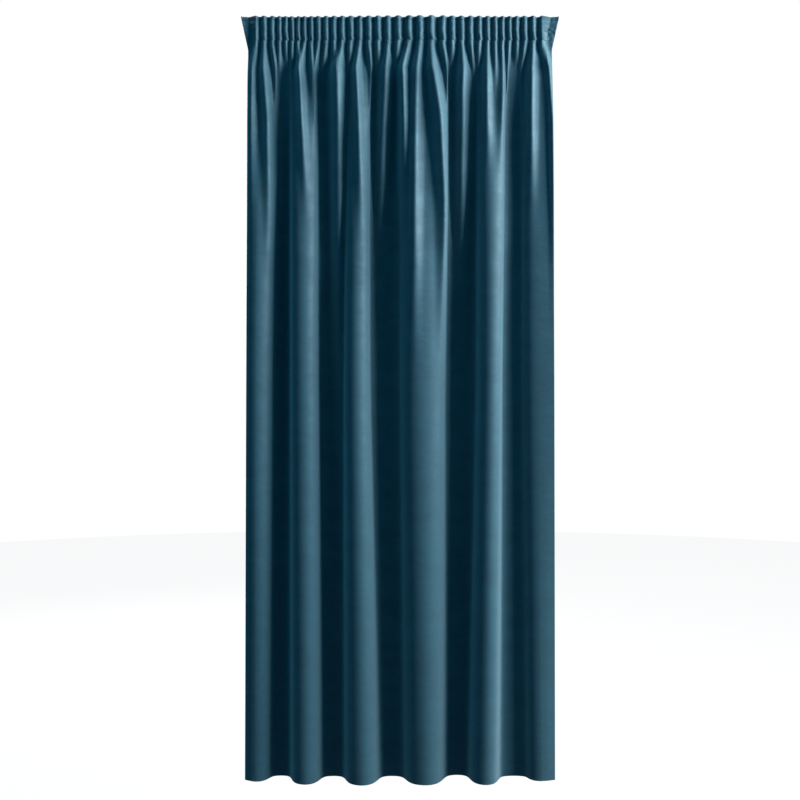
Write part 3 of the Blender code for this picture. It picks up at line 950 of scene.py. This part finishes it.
def woven_reverse(finish):
    """The velvet's back: a close plain weave, matt and a little paler than the pile."""
    paint = Paint("velvet_reverse")
    place = paint.cloth_place()
    across, down = paint.parts(place, 0, 1)
    threads = paint.ridges(across, REVERSE_WEAVE) * paint.ridges(down, REVERSE_WEAVE)
    shade = paint.spread(paint.noise(place, 12.0, 12.0, 4.0, 0.6), 0.3, 0.7)
    # The threads share of the colour is painted shade: it is darker where the weave dips. The noise
    # is the cloth's own random tone.
    shade = shade * 0.7 + threads * 0.15 + 0.15
    paint.set(
        Base_Color=paint.mix(shade, darker(finish.reverse, 0.78), finish.reverse),
        Roughness=paint.spread(threads, -1.0, 1.0, 0.92, 0.82),
        Specular_IOR_Level=0.2,
        Sheen_Weight=0.12,
        Sheen_Roughness=0.5,
        Sheen_Tint=(0.6, 0.75, 0.85, 1.0),
        Normal=paint.bump(threads, 0.00012, 0.6),
    )
    return paint.material


def woven_tape(finish):
    """Off-white tape: a rib of upright threads, crossed by finer ones."""
    paint = Paint("tape_weave")
    place = paint.cloth_place()
    across, down = paint.parts(place, 0, 1)
    ribs = paint.ridges(across, TAPE_RIB)
    weave = ribs * 0.6 + ribs * paint.ridges(down, TAPE_PICK) * 0.4
    worn = paint.noise(place, 60.0, 60.0, 3.0, 0.6)
    # The colour mixes real wear (worn) with painted shade: weave makes it darker in the hollows
    # between ribs and picks.
    shade = paint.spread(weave * 0.35 + worn, 0.2, 0.9)
    paint.set(
        Base_Color=paint.mix(shade, darker(finish.tape, 0.72), finish.tape),
        Roughness=paint.spread(weave, -1.0, 1.0, 0.9, 0.75),
        Specular_IOR_Level=0.3,
        Sheen_Weight=0.1,
        Normal=paint.bump(weave, 0.0002, 0.7),
    )
    return paint.material


def twisted(name, colour, twist):
    """Thread or cord of twisted strands: slanting ridges along it, and painted shade between them.
    """
    paint = Paint(name)
    x, z = paint.parts(paint.node("ShaderNodeTexCoord", None, None, 3), 0, 2)
    ridges = paint.ridges(x + z * 1.7, twist)
    paint.set(
        # The base colour is painted darker in the grooves between the strands, as painted shade.
        Base_Color=paint.mix(paint.spread(ridges, -1.0, 1.0), darker(colour, 0.6), colour),
        Roughness=paint.spread(ridges, -1.0, 1.0, 0.8, 0.62),
        Specular_IOR_Level=0.35,
        Sheen_Weight=0.15,
        Normal=paint.bump(ridges, twist * 0.15, 0.6),
    )
    return paint.material


def pale_floor(stage):
    """A plain matt floor that looks pale out of the lamps' reach and throws no light back."""
    paint = Paint("pale_floor")
    seen = paint.node("ShaderNodeLightPath")
    paint.set(
        Base_Color=(*stage.floor_colour, 1.0),
        Roughness=1.0,
        Specular_IOR_Level=0.0,
        Emission_Color=paint.mix(seen, (0.0, 0.0, 0.0), (1.0, 1.0, 1.0)),
        Emission_Strength=stage.floor_glow,
    )
    return paint.material


# The cloth

def hem_seam(sizes):
    """The level of the seam that holds the bottom hem, just below the hem's upper edge."""
    return sizes.drop - sizes.bottom_hem + SEAM_FROM_FOLD


def cloth_levels(sizes, sewn):
    """The mesh's levels: even stretches, more where the cloth turns or is sewn."""
    levels = [0.0]
    for spacing in SPACINGS:
        levels += list(np.linspace(levels[-1], spacing.until, spacing.count + 1)[1:])
    hem = sizes.drop - sizes.bottom_hem
    levels += [*RIM_STEPS, sizes.header + BESIDE_HEM, hem - BESIDE_HEM, hem, hem + BESIDE_HEM]
    levels += [hem_seam(sizes), sizes.drop - ABOVE_EDGE]
    levels += [sizes.drop - step for step in RIM_STEPS]
    levels += [line + off for line in sewn for off in (-BESIDE_SEWING, 0.0, BESIDE_SEWING)]
    return np.unique(np.round(levels, 5))


def cloth_edges(sizes):
    """How far from a side edge the mesh's outer columns lie. One is the side hem's seam."""
    hem = sizes.side_hem
    return (*RIM_STEPS, *SIDE_COLUMNS, hem - SEAM_FROM_FOLD, hem, hem + HEM_SLOPE)


def layers_thick(sizes, drop, across):
    """The cloth's thickness at each point: one layer, and another where the header, the bottom
    hem or a side hem is turned to the back. Each ends in a short slope.
    """
    from_side = np.minimum(across, sizes.flat_width - across)
    level = drop[:, None]
    turned = 1 - ease((level - sizes.header) / HEM_SLOPE)
    turned = np.maximum(turned, ease((level - sizes.drop + sizes.bottom_hem) / HEM_SLOPE))
    turned = np.maximum(turned, 1 - ease((from_side - sizes.side_hem) / HEM_SLOPE))
    return sizes.cloth * (1 + turned)


def rounding(sizes, drop, across):
    """1 inside the cloth, and a quarter circle down to 0 at its edge, as a folded edge has."""
    radius = sizes.cloth
    from_side = np.minimum(across, sizes.flat_width - across)
    from_end = np.minimum(drop, sizes.drop - drop)[:, None]
    share = np.clip(np.minimum(from_side, from_end) / radius, 0.0, 1.0)
    return np.sqrt(1 - (1 - share) ** 2)


def waves(random, along, pitches, count):
    """A sum of sines of random pitch and phase, with a spread of about one."""
    total = np.zeros_like(along)
    for _ in range(count):
        pitch = random.uniform(*pitches)
        total += np.sin(2 * np.pi * along / pitch + random.uniform(0, 2 * np.pi))
    return total / np.sqrt(count / 2)


def puckers(hung, drop, across):
    """Small unevenness of the front, in metres to the front.

    Each sewing line draws a dimple, a Gaussian across it, and puckers that die away from it.
    Between the two lines the header puffs out as half a sine. Slanting waves wrinkle the header,
    most of all in its flat ends.
    """
    sizes = hung.sizes
    random = np.random.default_rng(11)
    level = drop[:, None]
    upper, lower = hung.sewn
    total = PUFF * np.sin(np.pi * np.clip((level - upper) / (lower - upper), 0.0, 1.0))
    for line in hung.sewn:
        away = np.abs(level - line)
        total = total - DIMPLE * np.exp(-((away / DIMPLE_WIDTH) ** 2))
        puckered = PUCKER * waves(random, across, PUCKER_PITCHES, 7)
        total = total + puckered * np.exp(-away / PUCKER_REACH)
    from_side = np.minimum(across, sizes.flat_width - across)
    flat_end = 1 - ease((from_side - FLAT_END) / FLAT_END)
    in_header = ease((sizes.header + 0.010 - level) / 0.025)
    slanting = across + random.uniform(*WRINKLE_SLANTS) * level
    bent = across + random.uniform(*WRINKLE_SLANTS) * level + 0.01 * np.sin(level / 0.012)
    wrinkles = waves(random, slanting, WRINKLE_PITCHES[0], 6)
    wrinkles = wrinkles + waves(random, bent, WRINKLE_PITCHES[1], 6)
    return total + in_header * (WRINKLE + END_WRINKLE * flat_end) * wrinkles / 2


def cloth_layers(hung, drop):
    """The cloth's two faces as grids, with how far across each point is, the cloth's thickness
    there, and the way to the back.
    """
    sizes = hung.sizes
    points, across = hung.grid(drop, cloth_edges(sizes), COLUMNS_PER_PLEAT)
    back_way = ways_back(points)
    thick = layers_thick(sizes, drop, across)
    full = rounding(sizes, drop, across)
    raised = puckers(hung, drop, across) * full
    inward = thick / 2 * (1 - full)
    front = points + back_way * (inward - raised)[..., None]
    back = points + back_way * (thick - inward)[..., None]
    return front, back, across, thick, back_way


class CURTAIN_OT_cloth(bpy.types.Operator):
    """Make the velvet with its header, hems and folds"""

    bl_idname = "curtain.cloth"
    bl_label = "Velvet cloth"

    def execute(self, context):
        sizes = context.scene.curtain_sizes
        finish = context.scene.curtain_finish
        hung = HungCloth(sizes)
        drop = cloth_levels(sizes, hung.sewn)
        front, back, across, thick, _ = cloth_layers(hung, drop)
        vertices, front_faces, back_faces = closed_cloth(front, back)
        faces = np.concatenate([front_faces, back_faces])
        uv = flat_map(across, drop)
        turned = thick[:-1, :-1] > 1.5 * sizes.cloth
        finishes = np.concatenate([np.zeros(len(front_faces)), (~turned).ravel()])
        materials = [velvet(finish), woven_reverse(finish)]
        cloth = put_in_scene("velvet_cloth", vertices, faces, materials, finishes, uv)
        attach(cloth, "root")
        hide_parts("curtain_cloth")
        return {"FINISHED"}


# The tape and the sewing

def tape_layers(hung):
    """The tape's levels, its near and far face as grids, how far across each point is, and the
    way to the back. The far face comes down to the near one at the tape's edge.
    """
    sizes = hung.sizes
    levels = np.linspace(sizes.tape_top, hung.tape_end, TAPE_ROWS)
    levels = np.unique(np.round(np.concatenate([levels, hung.sewn]), 5))
    outside = TAPE_COLUMNS.index(TAPE_FROM_SIDE)
    inner = slice(outside, -outside)
    points, across = hung.grid(levels, TAPE_COLUMNS, TAPE_COLUMNS_PER_PLEAT)
    back_way = ways_back(points)[:, inner]
    near = points[:, inner] + back_way * (2 * sizes.cloth + sizes.tape_gap)
    far = near + back_way * sizes.tape_thickness
    far[[0, -1]] = near[[0, -1]]
    far[:, [0, -1]] = near[:, [0, -1]]
    return levels, near, far, across[:, inner], back_way


class CURTAIN_OT_tape(bpy.types.Operator):
    """Make the gathering tape"""

    bl_idname = "curtain.tape"
    bl_label = "Gathering tape"

    def execute(self, context):
        sizes = context.scene.curtain_sizes
        levels, near, far, across, _ = tape_layers(HungCloth(sizes))
        vertices, near_faces, far_faces = closed_cloth(near, far)
        faces = np.concatenate([near_faces, far_faces])
        weave = woven_tape(context.scene.curtain_finish)
        uv = flat_map(across, levels)
        tape = put_in_scene("gathering_tape", vertices, faces, [weave], None, uv)
        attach(tape, "root")
        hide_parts("heading_tape")
        return {"FINISHED"}


def pocket_strip(sizes):
    """A hook pocket's woven strip: a closed sheet that stands off the tape as half a sine."""
    along = np.linspace(-0.5, 0.5, 7)[:, None]
    beside = np.linspace(-0.5, 0.5, 4)[None]
    x = along * sizes.pocket_length * np.ones_like(beside)
    y = beside * sizes.pocket_width * np.ones_like(along)
    middle = np.cos(np.pi * along) * sizes.pocket_rise * np.ones_like(beside)
    half = sizes.pocket_thickness / 2
    layers = [np.stack([x, y, middle + off], axis=-1) for off in (half, -half)]
    vertices, near, far = closed_cloth(*layers)
    return vertices, np.concatenate([near, far])


class CURTAIN_OT_pockets(bpy.types.Operator):
    """Make the hook pockets woven into the tape"""

    bl_idname = "curtain.pockets"
    bl_label = "Hook pockets"

    def execute(self, context):
        sizes = context.scene.curtain_sizes
        levels, _, far, across, back_way = tape_layers(HungCloth(sizes))
        first, last = TAPE_FROM_SIDE + sizes.pocket_pitch, sizes.flat_width - TAPE_FROM_SIDE
        at = np.arange(first, last - sizes.pocket_pitch / 2, sizes.pocket_pitch)
        down = np.tile([0.0, 0.0, -1.0], (len(at), 1))
        rows = []
        for drop in POCKET_DROPS:
            row = np.argmin(np.abs(levels - drop))
            out = unit(sampled(back_way[row], across[row], at))
            centres = sampled(far[row], across[row], at)
            beside = unit(np.cross(out, down))
            rows.append(repeated(*pocket_strip(sizes), centres, down, beside, out))
        weave = twisted("pocket_weave", context.scene.curtain_finish.tape, CORD_TWIST)
        pockets = put_in_scene("tape_pockets", *joined(rows), [weave])
        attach(pockets, "root")
        return {"FINISHED"}


class CURTAIN_OT_cords(bpy.types.Operator):
    """Make the draw cords that run through the tape, with a knot at each end"""

    bl_idname = "curtain.cords"
    bl_label = "Draw cords"

    def execute(self, context):
        sizes = context.scene.curtain_sizes
        levels, _, far, across, back_way = tape_layers(HungCloth(sizes))
        radius = sizes.draw_cord
        start = TAPE_FROM_SIDE + CORD_FROM_END
        at = np.arange(start, sizes.flat_width - start, CORD_STEP)
        parts = []
        for drop in CORD_DROPS:
            row = np.argmin(np.abs(levels - drop))
            out = unit(sampled(back_way[row], across[row], at))
            woven = radius * (0.35 + 0.65 * np.cos(2 * np.pi * at / sizes.pocket_pitch))
            path = sampled(far[row], across[row], at) + out * woven[:, None]
            parts.append(cord_tube(path, radius))
            parts += [self.knot(path[end], out[end], radius) for end in (0, -1)]
        twist = twisted("cord_twist", context.scene.curtain_finish.tape, CORD_TWIST)
        cords = put_in_scene("draw_cords", *joined(parts), [twist])
        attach(cords, "root")
        return {"FINISHED"}

    def knot(self, centre, out, radius):
        """Three short turns of cord that cross in one place."""
        up = np.array([0.0, 0.0, 1.0])
        across = np.cross(up, out)
        along = unit(np.array([across + turn.slant * up for turn in TURNS]))
        out = np.tile(out, (len(TURNS), 1))
        lift = np.array([turn.lift for turn in TURNS])[:, None] * radius
        shape = capsule(4.5 * radius, 1.4 * radius)
        return repeated(*shape, centre + out * lift, along, unit(np.cross(out, along)), out)


class CURTAIN_OT_sewing(bpy.types.Operator):
    """Make the stitches that hold the tape and the hems"""

    bl_idname = "curtain.sewing"
    bl_label = "Sewing"

    def execute(self, context):
        sizes = context.scene.curtain_sizes
        finish = context.scene.curtain_finish
        hung = HungCloth(sizes)
        drop = cloth_levels(sizes, hung.sewn)
        front, back, across, _, back_way = cloth_layers(hung, drop)
        levels, _, far, tape_across, tape_way = tape_layers(hung)
        start = TAPE_FROM_SIDE + SEWING_FROM_END
        taped = start, sizes.flat_width - start
        rows = []
        for line in hung.sewn:
            row = np.argmin(np.abs(drop - line))
            rows.append(stitches(front[row], -back_way[row], across[row], taped, sizes))
            row = np.argmin(np.abs(levels - line))
            rows.append(stitches(far[row], tape_way[row], tape_across[row], taped, sizes))
        self.sew("tape_stitches", rows, finish, "tape_cloth")

        row = np.argmin(np.abs(drop - hem_seam(sizes)))
        hemmed = SEAM_FROM_SIDE, sizes.flat_width - SEAM_FROM_SIDE
        rows = [stitches(back[row], back_way[row], across[row], hemmed, sizes)]
        seam = cloth_edges(sizes).index(sizes.side_hem - SEAM_FROM_FOLD)
        down = sizes.header + SEAM_BELOW_HEADER, hem_seam(sizes) - SEAM_ABOVE_HEM
        for column in (seam, -1 - seam):
            rows.append(stitches(back[:, column], back_way[:, column], drop, down, sizes))
        self.sew("hem_stitches", rows, finish, "velvet")
        return {"FINISHED"}

    def sew(self, name, rows, finish, slot):
        thread = twisted(name + "_thread", finish.thread, THREAD_TWIST)
        sewn = put_in_scene(name, *joined(rows), [thread])
        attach(sewn, "root")


# The stage

def hang_lamp(lamp, stage):
    """One rectangular light turned to its target."""
    light = bpy.data.lights.new(lamp.name, "AREA")
    light.shape = "RECTANGLE"
    light.size = lamp.width
    light.size_y = lamp.height
    light.energy = getattr(stage, lamp.power)
    light.color = getattr(stage, lamp.colour)
    obj = bpy.data.objects.new(lamp.name, light)
    obj.location = lamp.place
    way = Vector(lamp.target) - Vector(lamp.place)
    obj.rotation_euler = way.to_track_quat("-Z", "Y").to_euler()
    bpy.context.scene.collection.objects.link(obj)


class CURTAIN_OT_stage(bpy.types.Operator):
    """Make the floor, the lights and the camera"""

    bl_idname = "curtain.stage"
    bl_label = "Stage"

    def execute(self, context):
        stage = context.scene.curtain_stage
        sizes = context.scene.curtain_sizes
        ring = np.linspace(0.0, 2 * np.pi, stage.floor_segments, endpoint=False)
        level = -sizes.drop - stage.floor_drop
        rim = [(FLOOR_REACH * math.cos(a), FLOOR_REACH * math.sin(a), level) for a in ring]
        mesh = bpy.data.meshes.new("floor")
        mesh.from_pydata(rim, [], [list(range(len(rim)))])
        mesh.materials.append(pale_floor(stage))
        floor = bpy.data.objects.new("floor", mesh)
        context.scene.collection.objects.link(floor)

        for lamp in LAMPS:
            hang_lamp(lamp, stage)

        world = bpy.data.worlds.new("studio")
        context.scene.world = world
        world.use_nodes = True
        nodes, links = world.node_tree.nodes, world.node_tree.links
        room = nodes["Background"]
        room.inputs["Color"].default_value = (*stage.room_colour, 1.0)
        room.inputs["Strength"].default_value = stage.room_light
        seen = nodes.new("ShaderNodeBackground")
        seen.inputs["Color"].default_value = (1.0, 1.0, 1.0, 1.0)
        seen.inputs["Strength"].default_value = 1.0
        rays = nodes.new("ShaderNodeLightPath")
        choice = nodes.new("ShaderNodeMixShader")
        links.new(rays.outputs["Is Camera Ray"], choice.inputs[0])
        links.new(room.outputs[0], choice.inputs[1])
        links.new(seen.outputs[0], choice.inputs[2])
        links.new(choice.outputs[0], nodes["World Output"].inputs["Surface"])

        data = bpy.data.cameras.new("camera")
        data.sensor_width = SENSOR_WIDTH
        data.lens = SENSOR_WIDTH * stage.camera_distance / stage.view_width
        camera = bpy.data.objects.new("camera", data)
        camera.location = (0.0, -stage.camera_distance, stage.camera_height)
        camera.rotation_euler = (math.pi / 2, 0.0, 0.0)
        context.scene.collection.objects.link(camera)
        context.scene.camera = camera
        context.scene.view_settings.view_transform = "Standard"
        return {"FINISHED"}


OPERATORS = (
    CURTAIN_OT_stage,
    CURTAIN_OT_cloth,
    CURTAIN_OT_tape,
    CURTAIN_OT_pockets,
    CURTAIN_OT_cords,
    CURTAIN_OT_sewing,
)


class CURTAIN_PT_panel(bpy.types.Panel):
    """The curtain's tools and sizes in the sidebar"""

    bl_idname = "CURTAIN_PT_panel"
    bl_label = "Curtain"
    bl_space_type = "VIEW_3D"
    bl_region_type = "UI"
    bl_category = "Curtain"

    def draw(self, context):
        layout = self.layout
        for operator in OPERATORS:
            layout.operator(operator.bl_idname)
        for name in ("curtain_sizes", "curtain_finish", "curtain_stage"):
            group = getattr(context.scene, name)
            box = layout.box()
            for key in group.__annotations__:
                box.prop(group, key)


CLASSES = (CurtainSizes, CurtainFinish, CurtainStage, *OPERATORS, CURTAIN_PT_panel)


def register():
    for cls in CLASSES:
        bpy.utils.register_class(cls)
    bpy.types.Scene.curtain_sizes = PointerProperty(type=CurtainSizes)
    bpy.types.Scene.curtain_finish = PointerProperty(type=CurtainFinish)
    bpy.types.Scene.curtain_stage = PointerProperty(type=CurtainStage)


def unregister():
    del bpy.types.Scene.curtain_stage
    del bpy.types.Scene.curtain_finish
    del bpy.types.Scene.curtain_sizes
    for cls in reversed(CLASSES):
        bpy.utils.unregister_class(cls)


def main():
    register()
    bpy.ops.curtain.stage()
    bpy.ops.curtain.cloth()
    bpy.ops.curtain.tape()
    bpy.ops.curtain.pockets()
    bpy.ops.curtain.cords()
    bpy.ops.curtain.sewing()


if __name__ == "__main__":
    main()
